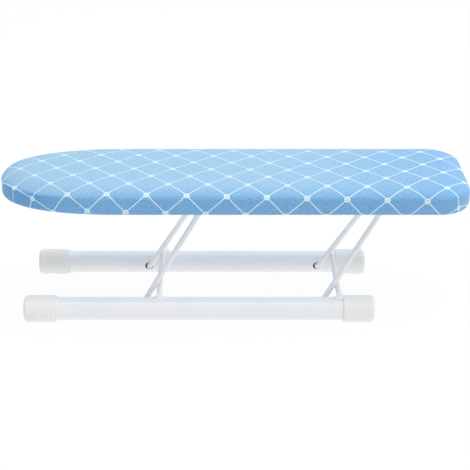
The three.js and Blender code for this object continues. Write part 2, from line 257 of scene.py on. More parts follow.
fibreLook = {
    "primer": (0.68, 0.81, 0.92), "thin": (0.63, 0.755, 0.865), "fleck": (0.56, 0.54, 0.50),
    "drawn": (0.35, 1, 1),  # the fibres lie along the board
    "body": (240, 6, 0.7), "bodySpread": (0.35, 0.65),
    "flecks": (900, 2, 0.5), "fleckSpread": (0.66, 0.74), "fleckShare": 0.6,
    "tooth": (700, 4, 0.7), "toothBump": (0.35, 0.0003),
}


def fibreFinish(look):
    finish = newFinish("primedFibre", {"Roughness": 0.7, "Specular IOR Level": 0.3})
    place = objectPlace(finish)
    drawn = put(finish, "ShaderNodeMapping", {"Vector": place, "Scale": look["drawn"]}).outputs[0]
    body = patches(finish, drawn, look, "body")
    white = blendColour(finish, body, look["primer"], look["thin"])
    fleck = ramp(finish, grain(finish, drawn, *look["flecks"]), *look["fleckSpread"], 0, look["fleckShare"])
    feed(finish, "Base Color", blendColour(finish, fleck, white, look["fleck"]))
    emboss(finish, grain(finish, drawn, *look["tooth"]), *look["toothBump"])
    return finish


spongeLook = {
    # the second colour is painted shade in the pores
    "cream": (0.86, 0.80, 0.62), "cellShade": (0.70, 0.63, 0.44),
    "cellScale": 900, "cellSpread": (0.15, 0.6), "cellBump": (0.6, 0.0006),
}


def spongeFinish(look):
    finish = newFinish("openSponge", {"Roughness": 1.0, "Specular IOR Level": 0.1})
    place = objectPlace(finish)
    cells = put(finish, "ShaderNodeTexVoronoi", {"Vector": place, "Scale": look["cellScale"]})
    # painted shade: the middles of the cells are darker, as the pores are in shade
    hollowShade = ramp(finish, cells.outputs["Distance"], *look["cellSpread"], 1, 0)
    tint(finish, hollowShade, look, "cream", "cellShade")
    emboss(finish, cells.outputs["Distance"], *look["cellBump"])
    return finish


zincLook = {
    "bright": (0.74, 0.75, 0.77), "dull": (0.60, 0.62, 0.65), "roughness": (0.24, 0.42),
    "spangleScale": 420, "plating": (1500, 2, 0.5), "platingBump": (0.08, 0.0001),
}


def zincFinish(look):
    finish = newFinish("zincPlate", {"Metallic": 1.0})
    place = objectPlace(finish)
    spangle = put(finish, "ShaderNodeTexVoronoi", {"Vector": place, "Scale": look["spangleScale"]})
    tone = put(finish, "ShaderNodeSeparateColor", {0: spangle.outputs["Color"]}).outputs[0]
    tint(finish, tone, look, "bright", "dull")
    roughen(finish, tone, look)
    emboss(finish, grain(finish, place, *look["plating"]), *look["platingBump"])
    return finish


# very dark bare steel for the bores and worn hole rims, partly its own colour and partly painted shade that
# darkens the holes
steelAndShadeLook = {
    "scale": (0.035, 0.036, 0.04), "bare": (0.075, 0.074, 0.076), "roughness": (0.5, 0.75),
    "patch": (180, 4, 0.6), "patchSpread": (0.4, 0.6),
}


def steelAndShadeFinish(look):
    finish = newFinish("bareSteelAndShade", {"Metallic": 0.6})
    patch = patches(finish, objectPlace(finish), look, "patch")
    tint(finish, patch, look, "scale", "bare")
    roughen(finish, patch, look)
    return finish


threadLook = {
    "white": (0.86, 0.88, 0.90), "shade": (0.70, 0.74, 0.78),
    "ply": (2600, 2, 0.5), "plySpread": (0.35, 0.65), "plyBump": (0.4, 0.0001),
}


def threadFinish(look):
    finish = newFinish("whiteThread", {"Roughness": 0.7, "Sheen Weight": 0.2})
    ply = patches(finish, objectPlace(finish), look, "ply")
    tint(finish, ply, look, "white", "shade")
    emboss(finish, ply, *look["plyBump"])
    return finish


cotton = clothFinish(clothLook)
paint = paintFinish(paintLook)
ivory = capFinish(capLook)
fibre = fibreFinish(fibreLook)
foam = spongeFinish(spongeLook)
zinc = zincFinish(zincLook)
steelAndShade = steelAndShadeFinish(steelAndShadeLook)
thread = threadFinish(threadLook)
print("finishes made:", len(bpy.data.materials))


# Mesh helpers

weldReach = 0.000002


def newObject(name, points, faces, finish):
    mesh = bpy.data.meshes.new(name)
    mesh.from_pydata([tuple(point) for point in points], [], faces)
    mesh.materials.append(finish)
    made = bpy.data.objects.new(name, mesh)
    scene.collection.objects.link(made)
    return made


def newPiece(name, points, faces, finish, sharpAngle=40):
    piece = newObject(name, points, faces, finish)
    dress(piece.data, sharpAngle)
    return piece


def dress(mesh, sharpAngle):
    shape = bmesh.new()
    shape.from_mesh(mesh)
    bmesh.ops.recalc_face_normals(shape, faces=shape.faces)
    for face in shape.faces:
        face.smooth = True
    for edge in shape.edges:
        edge.smooth = len(edge.link_faces) != 2 or edge.calc_face_angle() < math.radians(sharpAngle)
    shape.to_mesh(mesh)
    shape.free()


def bake(piece, sharpAngle=None):
    settled = piece.evaluated_get(bpy.context.evaluated_depsgraph_get())
    mesh = bpy.data.meshes.new_from_object(settled)
    piece.modifiers.clear()
    old = piece.data
    piece.data = mesh
    mesh.name = piece.name
    bpy.data.meshes.remove(old)
    if sharpAngle:
        dress(mesh, sharpAngle)


def cutAway(piece, cutters, sharpAngle):
    for cutter in cutters:
        step = piece.modifiers.new("cut", "BOOLEAN")
        step.operation = "DIFFERENCE"
        step.solver = "EXACT"
        step.object = cutter
    bake(piece, sharpAngle)
    for cutter in cutters:
        mesh = cutter.data
        bpy.data.objects.remove(cutter)
        bpy.data.meshes.remove(mesh)


def circle(sides):  # cosine and sine of each spoke
    turns = [2 * math.pi * spoke / sides for spoke in range(sides)]
    return [(math.cos(turn), math.sin(turn)) for turn in turns]


def turnedShape(profile, sides, looped=False):  # (along, radius) points turned round the X axis
    points = []
    rows = []
    for along, radius in profile:
        spokes = circle(sides) if radius else [(0, 0)]
        rows.append(range(len(points), len(points) + len(spokes)))
        points += [Vector((along, radius * y, radius * z)) for y, z in spokes]
    faces = []
    pairs = list(zip(rows, rows[1:]))
    if looped:
        pairs.append((rows[-1], rows[0]))
    for first, second in pairs:
        for spoke in range(sides):
            after = (spoke + 1) % sides
            corners = [first[spoke % len(first)], first[after % len(first)]]
            corners += [second[after % len(second)], second[spoke % len(second)]]
            face = list(dict.fromkeys(corners))
            if len(face) > 2:
                faces.append(face)
    return points, faces


def shares(steps):  # from 0 to 1
    return [step / steps for step in range(steps + 1)]


def arc(centre, radius, start, end, steps):  # degrees
    turns = [math.radians(start + (end - start) * share) for share in shares(steps)]
    return [(centre[0] + radius * math.cos(turn), centre[1] + radius * math.sin(turn)) for turn in turns]


def gridFaces(rows, sides, looped=False):  # between rings that have as many points each
    faces = []
    for row in range(rows if looped else rows - 1):
        here = row * sides
        there = (row + 1) % rows * sides
        for spoke in range(sides):
            after = (spoke + 1) % sides
            faces.append((here + spoke, there + spoke, there + after, here + after))
    return faces


def sweptShape(path, radius, sides, looped=False):
    count = len(path)
    points = []
    side = None
    for index, place in enumerate(path):
        ahead = path[(index + 1) % count] if looped or index < count - 1 else place
        behind = path[index - 1] if looped or index else place
        along = (ahead - behind).normalized()
        if side is None:
            side = along.orthogonal().normalized()
        side = (side - along * side.dot(along)).normalized()
        up = along.cross(side)
        points += [place + radius * (side * y + up * z) for y, z in circle(sides)]
    faces = gridFaces(count, sides, looped)
    if not looped:
        faces += [tuple(range(sides)), tuple(range((count - 1) * sides, count * sides))]
    return points, faces


def addShape(points, faces, shape):
    faces += [tuple(len(points) + corner for corner in face) for face in shape[1]]
    points += shape[0]


def bentPath(corners, radii, steps):
    path = [corners[0]]
    for index in range(1, len(corners) - 1):
        radius = radii[index - 1]
        back = (corners[index - 1] - corners[index]).normalized()
        ahead = (corners[index + 1] - corners[index]).normalized()
        halfAngle = back.angle(ahead) / 2
        centre = corners[index] + (back + ahead).normalized() * (radius / math.sin(halfAngle))
        spoke = corners[index] + back * (radius / math.tan(halfAngle)) - centre
        for share in shares(steps):
            turn = share * (math.pi - 2 * halfAngle)
            path.append(centre + spoke * math.cos(turn) - back * (radius * math.sin(turn)))
    path.append(corners[-1])
    return path


def lineRuns(points):  # distance along the line at each of its points
    runs = [0.0]
    for first, second in zip(points, points[1:]):
        runs.append(runs[-1] + (second - first).length)
    return runs


def pointAt(points, runs, run):
    place = min(bisect_right(runs, run), len(runs) - 1) - 1
    share = (run - runs[place]) / (runs[place + 1] - runs[place])
    return points[place].lerp(points[place + 1], share)


def weld(mesh):  # joins the points that lie on one another along the board's middle line
    shape = bmesh.new()
    shape.from_mesh(mesh)
    bmesh.ops.remove_doubles(shape, verts=shape.verts, dist=weldReach)
    for face in shape.faces:
        face.smooth = True
    shape.to_mesh(mesh)
    shape.free()


def finishPiece(piece, body, slot, *stoodFor):
    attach(piece, body)
    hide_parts(*stoodFor)


# Foot tubes and their caps

tubeMake = {
    "wall": 0.0012, "sides": 96, "edgeRound": 0.0003,
    "holeRadius": 0.0038, "wornRadius": 0.0047, "wornDepth": 0.0009,  # the leg has worn the hole's edge
    "drillStart": 0.6, "drillSides": 40,  # share of the radius at which the drill starts
    "paintedTilt": 0.95,  # cosine of the most that a painted face leans from straight out
}


def makeTube(name, node, make):
    low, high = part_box(node)
    radius = (high.z - low.z) / 2
    axis = Vector((0, (low.y + high.y) / 2, (low.z + high.z) / 2))
    bore = radius - make["wall"]
    ease = make["edgeRound"]
    profile = [
        (low.x, bore), (low.x, radius - ease), (low.x + ease, radius),
        (high.x - ease, radius), (high.x, radius - ease), (high.x, bore),
    ]
    points, faces = turnedShape(profile, make["sides"], looped=True)
    tube = newPiece(name, [point + axis for point in points], faces, paint)
    inward = -1 if axis.y > 0 else 1
    drills = []
    for hinge in ("left_leg_hinge", "right_leg_hinge"):
        start = Vector((joints[hinge].x, axis.y + inward * radius * make["drillStart"], axis.z))
        skin = radius * (1 - make["drillStart"])
        drill = [
            (0, 0), (0, make["holeRadius"]), (skin - make["wornDepth"], make["holeRadius"]),
            (skin, make["wornRadius"]), (radius, make["wornRadius"]), (radius, 0),
        ]
        drillPoints, drillFaces = turnedShape(drill, make["drillSides"])
        turn = Matrix.Rotation(inward * math.pi / 2, 3, "Z")
        drills.append(newPiece("drill", [start + turn @ point for point in drillPoints], drillFaces, paint))
    cutAway(tube, drills, sharpAngle=30)
    tube.data.materials.append(steelAndShade)
    for face in tube.data.polygons:  # the paint is only on the outside; the bore and the worn hole rims get very dark bare steel, which also paints the shade in the holes
        outward = (face.center - axis) * Vector((0, 1, 1))
        face.material_index = 0 if outward.normalized().dot(face.normal) > make["paintedTilt"] else 1
    finishPiece(tube, "foot_frame", "white_paint", node)


capMake = {
    "endRadius": 0.0045, "rimRadius": 0.0012, "bore": 0.0128, "endWall": 0.003,
    "dome": 0.0004,  # rise of the end's middle over its rounded edge
    "domeShare": 0.6, "domeDrop": 0.0001,  # a point on the dome, and how far it lies below the middle
    "gateRadius": 0.0016, "gateFloor": 0.7, "gateDepth": 0.0004,  # dimple where the plastic was let in
    "sides": 96, "endSteps": 12, "rimSteps": 6,
}


def makeCap(name, node, closedEnd, make):  # closedEnd is -1 at the nose end, 1 at the tail end
    low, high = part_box(node)
    radius = (high.z - low.z) / 2
    length = high.x - low.x
    endRadius = make["endRadius"]
    rim = make["rimRadius"]
    gate = make["gateRadius"]
    flat = radius - endRadius
    profile = [(make["gateDepth"], 0), (make["gateDepth"], gate * make["gateFloor"]), (0, gate)]
    profile += [(make["domeDrop"], flat * make["domeShare"])]
    profile += arc((endRadius + make["dome"], flat), endRadius, 180, 90, make["endSteps"])
    profile += arc((length - rim, radius - rim), rim, 90, 0, make["rimSteps"])
    profile += [(length, make["bore"]), (make["endWall"], make["bore"]), (make["endWall"], 0)]
    points, faces = turnedShape(profile, make["sides"])
    middle = Vector((0, (low.y + high.y) / 2, (low.z + high.z) / 2))
    placed = []
    for point in points:
        along = low.x + point.x if closedEnd < 0 else high.x - point.x
        placed.append(Vector((along, point.y, point.z)) + middle)
    cap = newPiece(name, placed, faces, ivory, sharpAngle=50)
    finishPiece(cap, "foot_frame", "cap_plastic", node)


for depth in ("front", "rear"):
    makeTube(depth + "Tube", depth + "_foot_tube", tubeMake)
    makeCap(depth + "LeftCap", depth + "_left_cap", -1, capMake)
    makeCap(depth + "RightCap", depth + "_right_cap", 1, capMake)
print("foot tubes and caps made")


# Cross wires, welded on top of the tubes

crossMake = {
    "radius": 0.003, "bow": 0.0016, "overlap": 0.002, "steps": 40, "sides": 28,
    "beadLength": 0.014, "beadWidth": 0.008, "beadHeight": 0.0040, "beadSink": 0.0006,
    "beadRings": 10, "beadSides": 32,
    "ripple": 0.0003, "rippleRate": 2200, "rippleCurl": 1.3, "curlRate": 700,  # rates in radians a metre
    "voxel": 0.0005, "softenShare": 0.5, "softenTimes": 5,
}


def beadShape(middle, tubeRadius, make):  # low rippled mound that hugs the tube
    rings = make["beadRings"]
    around = make["beadSides"]
    points = []
    for share in shares(rings):
        height = make["beadHeight"] * math.sqrt(max(0, 1 - share ** 2))
        for cosine, sine in circle(around):
            x = make["beadLength"] / 2 * share * cosine
            y = make["beadWidth"] / 2 * share * sine
            drop = tubeRadius - math.sqrt(tubeRadius ** 2 - y ** 2)
            curl = make["rippleCurl"] * math.sin(y * make["curlRate"])
            lump = make["ripple"] * math.sin(x * make["rippleRate"] + curl) * (1 - share ** 2)
            points.append(middle + Vector((x, y, height + lump - drop - make["beadSink"])))
    faces = gridFaces(rings + 1, around)
    faces.append(tuple(range(rings * around, (rings + 1) * around)))
    return points, faces


def makeCrossWire(name, node, shift, make):
    low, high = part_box("left_cross_wire")
    tubeLow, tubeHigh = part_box("rear_foot_tube")
    tubeY = (tubeLow.y + tubeHigh.y) / 2
    tubeRadius = (tubeHigh.z - tubeLow.z) / 2
    endX = (low.x + high.x) / 2 + shift
    z = high.z - make["radius"]
    endY = tubeY + make["overlap"]
    path = []
    for share in shares(make["steps"]):
        y = endY * (2 * share - 1)
        path.append(Vector((endX - make["bow"] * (1 - (y / endY) ** 2), y, z)))
    points, faces = sweptShape(path, make["radius"], make["sides"])
    for side in (-1, 1):
        addShape(points, faces, beadShape(Vector((endX, side * tubeY, tubeHigh.z)), tubeRadius, make))
    bar = newPiece(name, points, faces, paint)
    skin = bar.modifiers.new("skin", "REMESH")
    skin.mode = "VOXEL"
    skin.voxel_size = make["voxel"]
    soften = bar.modifiers.new("soften", "SMOOTH")
    soften.factor = make["softenShare"]
    soften.iterations = make["softenTimes"]
    bake(bar, sharpAngle=60)
    finishPiece(bar, "foot_frame", "white_paint", node)


legSpacing = joints["right_leg_hinge"].x - joints["left_leg_hinge"].x
makeCrossWire("leftCrossBar", "left_cross_wire", 0, crossMake)
makeCrossWire("rightCrossBar", "right_cross_wire", legSpacing, crossMake)
print("cross wires welded")


# Legs

legMake = {
    "radius": 0.003, "topSpread": 0.0505, "sideGap": 0.0005, "footBend": 0.006, "topBend": 0.009,
    "bendSteps": 14, "sides": 28,
}


def makeLeg(name, node, body, hinge, make):
    pivot = joints[hinge]
    rise = joints["board_hinge"] - joints["left_leg_hinge"]
    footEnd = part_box(node)[1].y
    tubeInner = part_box("rear_foot_tube")[0].y
    armFoot = tubeInner - make["radius"] - make["sideGap"]
    top = make["topSpread"] / 2
    across = [(-footEnd, 0), (-armFoot, 0), (-top, 1), (top, 1), (armFoot, 0), (footEnd, 0)]
    corners = [pivot + rise * share + Vector((0, y, 0)) for y, share in across]
    bends = [make["footBend"], make["topBend"], make["topBend"], make["footBend"]]
    path = bentPath(corners, bends, make["bendSteps"])
    points, faces = sweptShape(path, make["radius"], make["sides"])
    leg = newPiece(name, points, faces, paint, sharpAngle=60)
    finishPiece(leg, body, "white_paint", node)


for side in ("left", "right"):
    makeLeg(side + "Leg", side + "_leg_wire", side + "_leg", side + "_leg_hinge", legMake)
print("legs bent")


# Saddles that hold the legs' top bars, and their screws

saddleMake = {
    "thickness": 0.0012, "trough": 0.0033, "bend": 0.0008, "troughSteps": 20, "bendSteps": 6,
    "edgeRound": 0.00025, "edgeSteps": 2, "edgeAngle": 50,  # degrees, of the edges that are eased
}


def saddleOutline(low, high, make):
    pivotZ = joints["board_hinge"].z
    half = (high.x - low.x) / 2
    thick = make["thickness"]
    inner = make["trough"]
    outer = inner + thick
    bend = make["bend"]
    wide = bend + thick
    bendSteps = make["bendSteps"]
    tabTop = high.z
    tabUnder = tabTop - thick
    outline = [(-half, tabTop), (-half, tabUnder)]
    outline += arc((-outer - bend, tabUnder - bend), bend, 90, 0, bendSteps)
    outline += arc((0, pivotZ), outer, 180, 360, make["troughSteps"])
    outline += arc((outer + bend, tabUnder - bend), bend, 180, 90, bendSteps)
    outline += [(half, tabUnder), (half, tabTop)]
    outline += arc((inner + wide, tabTop - wide), wide, 90, 180, bendSteps)
    outline += arc((0, pivotZ), inner, 360, 180, make["troughSteps"])
    outline += arc((-inner - wide, tabTop - wide), wide, 0, 90, bendSteps)
    return outline


def makeSaddle(name, node, make):
    low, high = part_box(node)
    middle = (low.x + high.x) / 2
    outline = saddleOutline(low, high, make)
    count = len(outline)
    points = [Vector((middle + x, y, z)) for y in (low.y, high.y) for x, z in outline]
    faces = [tuple(range(count)), tuple(range(count, 2 * count))] + gridFaces(2, count)
    saddle = newPiece(name, points, faces, zinc)
    easing = saddle.modifiers.new("eased", "BEVEL")
    easing.width = make["edgeRound"]
    easing.segments = make["edgeSteps"]
    easing.angle_limit = math.radians(make["edgeAngle"])
    bake(saddle, sharpAngle=30)
    finishPiece(saddle, "board", "zinc_plate", node)


screwMake = {
    "headHeight": 0.0022, "domeShare": 0.75, "domePower": 0.6, "domeSteps": 8,
    "shankRadius": 0.0017, "rootRadius": 0.0012, "tipLength": 0.003,
    "threadPitch": 0.0013, "rootPlace": 0.3, "crestPlace": 0.9,  # places as shares of the pitch
    "slotWidth": 0.0009, "slotLength": 0.0034, "slotDepth": 0.0011, "slotTaper": 0.55, "slotOvercut": 0.001,
    "slotTurn": 0.4,  # radians
    "sides": 40,
}


def makeScrew(name, node, make):
    low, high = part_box(node)
    radius = (high.x - low.x) / 2
    middle = Vector(((low.x + high.x) / 2, (low.y + high.y) / 2, 0))
    headTop = low.z + make["headHeight"]
    dome = make["headHeight"] * make["domeShare"]
    profile = [(low.z, 0)]
    for share in shares(make["domeSteps"])[1:]:  # pan head with a rounded shoulder
        turn = math.pi / 2 * share
        distance = radius * math.sin(turn) ** make["domePower"]
        profile.append((low.z + dome * (1 - math.cos(turn)), distance))
    profile += [(headTop, radius), (headTop, make["shankRadius"])]
    threadEnd = high.z - make["tipLength"]
    pitch = make["threadPitch"]
    turns = int((threadEnd - headTop) / pitch)
    for turn in range(turns):
        z = headTop + turn * pitch
        profile.append((z + pitch * make["rootPlace"], make["rootRadius"]))
        profile.append((z + pitch * make["crestPlace"], make["shankRadius"]))
    profile += [(threadEnd, make["rootRadius"]), (high.z, 0)]
    points, faces = turnedShape(profile, make["sides"])
    upright = [Vector((point.z, point.y, point.x)) + middle for point in points]
    screw = newPiece(name, upright, faces, zinc)
    slots = []
    half = (make["slotLength"] / 2, make["slotWidth"] / 2)
    ends = ((-make["slotOvercut"], 1), (make["slotDepth"], make["slotTaper"]))
    for turn in (0, math.pi / 2):
        spin = Matrix.Rotation(turn + make["slotTurn"], 3, "Z")
        corners = []
        for height, shrink in ends:  # from below the head up into it
            for x, y in ((-1, -1), (1, -1), (1, 1), (-1, 1)):
                corner = Vector((x * half[0] * shrink, y * half[1], low.z + height))
                corners.append(spin @ corner + middle)
        sides = [(0, 1, 2, 3), (4, 5, 6, 7), (0, 1, 5, 4), (1, 2, 6, 5), (2, 3, 7, 6), (3, 0, 4, 7)]
        slots.append(newPiece("slot", corners, sides, zinc))
    cutAway(screw, slots, sharpAngle=35)
    finishPiece(screw, "board", "zinc_plate", node)


for side in ("left", "right"):
    for depth in ("front", "rear"):
        node = f"{side}_{depth}_saddle"
        name = side + depth.title() + "Saddle"
        makeSaddle(name, node, saddleMake)
        for end in ("nose", "tail"):
            makeScrew(name + end.title() + "Screw", f"{node}_{end}_screw", screwMake)
print("saddles and screws made")


# Covered board

boardMake = {
    "noseLength": 0.134, "nosePower": 2.28, "tailCorner": 0.036, "foldRadius": 0.0056,
    "crownReach": 0.055, "crownPower": 2.7,  # from the edge to the level middle, and how square that is
    "tightRise": 0.0024, "tightReach": 0.003,  # of the shoulder where the cloth is drawn tight
    "tightSlope": 0.45, "tightBlend": 14,  # of the top above it, and how sharply that meets the crown
    "tightFrom": -0.110, "tightTo": -0.205,  # the cover grows tight between these places along the nose
    "slackFrom": -0.1, "slackTo": 0.6,  # and slackens again round the tip, between these outward shares of Y
    "rimInset": 0.030,  # of the ring between the crown's rows and the middle of the top
    "slopeStep": 0.001,  # over which the crown's slope is measured at that ring
    "leastSteep": 2,  # least power of the drop from the middle line to that ring
    "noseSteps": 400, "straightSteps": 400, "cornerSteps": 120, "tailSteps": 100,  # of the dense outline
    "stations": 340,  # along one half of the outline, from nose tip to tail middle
    "topRings": 14, "ringPower": 0.8,  # the top's rings, closer towards the rim
    "crownSteps": 22, "sideSteps": 6, "foldSteps": 7, "tunnelSteps": 14,
    "spineShare": 0.74,  # of the board's length that the middle line of the top's mesh takes
    "softness": 0.00022, "quickShare": 0.45,
    "slowWaves": (16, 22, 1.5), "quickWaves": (48, 60, 7.5),  # noise steps a metre each way, and a seed
    "clothThickness": 0.0006,
    "noseSlack": 0.1,  # share of the cloth that is eased in round the nose
    "paintedLightReach": 0.026, "tightPaintedLightReach": 0.008,  # from the edge in to where the cloth has the top's full painted light
    "tailPaintedShade": 0.52, "tailPaintedShadeFrom": 0.03,  # share of the top's painted light that the tail loses as painted shade, and where that starts
    "nosePaintedShadeFrom": -0.160, "nosePaintedShadeTo": -0.230,  # the side gets less and less painted light between these places, a painted shade round the nose's front
}
hemMake = {
    "drop": 0.0011,  # of the hem below the core board
    "rows": (  # inset, drop below the hem's outer part and share of the gathers
        (0.0068, 0, 0.4), (0.0085, 0.0001, 0.75), (0.0105, 0.0002, 0.9), (0.0122, 0.0003, 0.85),
        (0.0132, 0.0004, 0.6),
    ),
    "stitchInset": 0.0138, "seamDrop": 0.0004, "seamGather": 0.5,
    "cordInset": 0.0174, "cordDrop": 0.0029, "cordRadius": 0.0015, "cordStride": 2, "cordSides": 10,
    "tunnelRadius": 0.0022, "tunnelTurns": (170, 450),  # degrees round the cord, from seam to flap
    "flap": ((0.0152, 0.00065, 0.3), (0.0124, 0.00045, 0.2)),  # inset, drop and share of the gathers
    "sideGather": 0.05, "foldGather": 0.1167,  # share of the gathers that the side and the fold add
    "gatherDepth": 0.0014, "gatherLength": 0.0085, "straightLength": 0.0125, "straightShare": 0.35,
    "bendReach": 8, "tightBend": 12,  # stations each way, and the radians a metre of the tightest gathers
    "lengthSpread": 0.45, "lengthWaves": 45, "lengthSeed": 3.7,
    "depthShare": 0.75, "depthSpread": 0.5, "depthWaves": 70, "depthSeed": 9.1,
}
coverLow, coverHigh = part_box("fabric_cover")
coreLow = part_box("core_board")[0]
padLow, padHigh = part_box("sponge_pad")
halfLength = (coverHigh.x - coverLow.x) / 2
halfWidth = (coverHigh.y - coverLow.y) / 2
boardX = (coverHigh.x + coverLow.x) / 2


def halfOutline():  # dense points from the nose tip along the front to the middle of the tail
    noseX = -halfLength + boardMake["noseLength"]
    corner = boardMake["tailCorner"]
    points = []
    for share in shares(boardMake["noseSteps"]):
        turn = math.pi / 2 * share
        along, across = [side ** (2 / boardMake["nosePower"]) for side in (math.cos(turn), math.sin(turn))]
        points.append(Vector((noseX - boardMake["noseLength"] * along, -halfWidth * across)))
    straightEnd = halfLength - corner
    for share in shares(boardMake["straightSteps"])[1:]:
        points.append(Vector((noseX + (straightEnd - noseX) * share, -halfWidth)))
    centre = (straightEnd, -halfWidth + corner)
    points += [Vector(point) for point in arc(centre, corner, -90, 0, boardMake["cornerSteps"])[1:]]
    for share in shares(boardMake["tailSteps"])[1:]:
        points.append(Vector((halfLength, (-halfWidth + corner) * (1 - share))))
    return points


def easeBetween(value, low, high):
    share = min(1, max(0, (value - low) / (high - low)))
    return share * share * (3 - 2 * share)


def noseFront(point, out, start, end):  # 1 at the front of the nose, 0 along the sides and at the rear
    along = easeBetween(point.x, boardMake[start], boardMake[end])
    return along * (1 - easeBetween(out.y, boardMake["slackFrom"], boardMake["slackTo"]))


def outlineStations():  # evenly spaced all round, with how tight the cloth is there and how much painted shade the front of the nose gets
    dense = halfOutline()
    runs = lineRuns(dense)
    count = boardMake["stations"]
    half = [pointAt(dense, runs, runs[-1] * share) for share in shares(count)]
    around = half + [Vector((point.x, -point.y)) for point in half[-2:0:-1]]
    total = len(around)
    stations = []
    for index, point in enumerate(around):
        ahead = around[(index + 1) % total] - point
        behind = point - around[index - 1]
        along = (ahead.normalized() + behind.normalized()).normalized()
        bend = behind.angle_signed(ahead) / ((ahead.length + behind.length) / 2)
        out = Vector((along.y, -along.x))
        stations.append({
            "point": point, "out": out, "bend": abs(bend),
            "tight": noseFront(point, out, "tightFrom", "tightTo"),
            "paintedNoseShade": noseFront(point, out, "nosePaintedShadeFrom", "nosePaintedShadeTo"),
        })
    return stations, runs[-1] / count


stations, spacing = outlineStations()


def wander(index, name):  # uneven along the hem, from -1 to 1
    return noise.noise(Vector((index * spacing * hemMake[name + "Waves"], hemMake[name + "Seed"], 0)))


def gatherWaves():  # depth of the gathers at each station, tight where the outline bends
    phase = 0.0
    total = len(stations)
    waves = []
    for index in range(total):
        reach = range(index - hemMake["bendReach"], index + hemMake["bendReach"] + 1)
        bends = [stations[near % total]["bend"] for near in reach]
        tight = min(1, sum(bends) / len(bends) / hemMake["tightBend"])
        length = hemMake["straightLength"] + (hemMake["gatherLength"] - hemMake["straightLength"]) * tight
        jitter = 1 + hemMake["lengthSpread"] * wander(index, "length")
        phase += 2 * math.pi * spacing / length * jitter
        share = hemMake["straightShare"] + (1 - hemMake["straightShare"]) * tight
        size = share * (hemMake["depthShare"] + hemMake["depthSpread"] * wander(index, "depth"))
        waves.append((phase, size))
    turns = round(phase / (2 * math.pi)) * 2 * math.pi / phase  # a whole number of gathers all round
    return [hemMake["gatherDepth"] * size * (0.5 - 0.5 * math.cos(start * turns)) for start, size in waves]


gathers = gatherWaves()


def crownInsets():  # from the rim ring out to the side, closer where the shoulder bends
    reach = boardMake["crownReach"]
    power = boardMake["crownPower"]
    start = math.asin((1 - boardMake["rimInset"] / reach) ** (power / 2))
    turns = [start + (math.pi / 2 - start) * share for share in shares(boardMake["crownSteps"])]
    return [reach * (1 - math.sin(turn) ** (2 / power)) for turn in turns]


def ovalRise(inset, reach, height):  # of a squarish quarter oval, from its foot in to its level end
    power = boardMake["crownPower"]
    return height * (1 - max(0, 1 - inset / reach) ** power) ** (1 / power)


def crownZ(station, inset):  # a round shoulder along the sides, a tight one at the front of the nose
    full = ovalRise(inset, boardMake["crownReach"], coverHigh.z - padLow.z)
    tight = ovalRise(inset, boardMake["tightReach"], boardMake["tightRise"])
    tight += boardMake["tightSlope"] * inset
    if full > 0:
        blend = boardMake["tightBlend"]
        tight = (full ** -blend + tight ** -blend) ** (-1 / blend)  # the lower of the two, eased
    return padLow.z + full + (tight - full) * station["tight"]


def middleRing(share, drawnIn=0.0):  # (plan point, z) at each station; share runs from the middle line out
    inset = boardMake["rimInset"]
    near = boardMake["slopeStep"]
    ring = []
    for station in stations:
        drop = coverHigh.z - crownZ(station, inset)
        slope = (crownZ(station, inset) - crownZ(station, inset - near)) / near
        rim = station["point"] - station["out"] * (inset + drawnIn)
        spine = Vector((rim.x * boardMake["spineShare"], 0))
        steep = max(boardMake["leastSteep"], slope * (rim - spine).length / drop)
        ring.append((spine.lerp(rim, share), coverHigh.z - drawnIn - drop * share ** steep))
    return ring


def sideRows():  # (inset, z, share of the gathers) from the crown's foot to the hem
    fold = boardMake["foldRadius"]
    under = coreLow.z - hemMake["drop"]
    rows = []
    sideTop = padLow.z
    sideEnd = under + fold
    for share in shares(boardMake["sideSteps"])[1:-1]:
        rows.append((0.0, sideTop + (sideEnd - sideTop) * share, hemMake["sideGather"] * share ** 2))
    for share in shares(boardMake["foldSteps"]):
        turn = math.pi / 2 * share
        gather = hemMake["sideGather"] + hemMake["foldGather"] * share
        rows.append((fold - fold * math.cos(turn), sideEnd - fold * math.sin(turn), gather))
    rows += [(inset, under - sink, gather) for inset, sink, gather in hemMake["rows"]]
    rows.append((hemMake["stitchInset"], under - hemMake["seamDrop"], hemMake["seamGather"]))
    centre = (hemMake["cordInset"], coreLow.z - hemMake["cordDrop"])
    tunnel = arc(centre, hemMake["tunnelRadius"], *hemMake["tunnelTurns"], boardMake["tunnelSteps"])
    rows += [(inset, z, hemMake["seamGather"]) for inset, z in tunnel]
    rows += [(inset, coreLow.z - sink, gather) for inset, sink, gather in hemMake["flap"]]
    return rows


def topSoftness(x, y):  # how far the sponge lets the top stand above or below level
    levels = []
    for along, across, seed in (boardMake["slowWaves"], boardMake["quickWaves"]):
        levels.append(noise.noise(Vector((x * along, y * across, seed))))
    return boardMake["softness"] * (levels[0] + boardMake["quickShare"] * levels[1])


def coverPoint(station, inset, z, gather, depth):
    plan = station["point"] - station["out"] * inset
    return Vector((plan.x + boardX, plan.y, z - gather * depth))


def paintedTopLight(x):  # painted light on the top, less towards the tail as painted shade
    return 1 - boardMake["tailPaintedShade"] * easeBetween(x, boardMake["tailPaintedShadeFrom"], halfLength)


# painted shade on the sides, deepest round the front of the nose
def paintedSideLight(station):
    return clothLook["sideLightShare"] * (1 - station["paintedNoseShade"])


# painted light ramping up over the shoulder, from the side to the top
def paintedShoulderLight(station, inset):
    wide = boardMake["paintedLightReach"]
    reach = wide + (boardMake["tightPaintedLightReach"] - wide) * station["tight"]
    low = paintedSideLight(station)
    return low + (paintedTopLight(station["point"].x) - low) * (1 - max(0, 1 - inset / reach) ** 2)


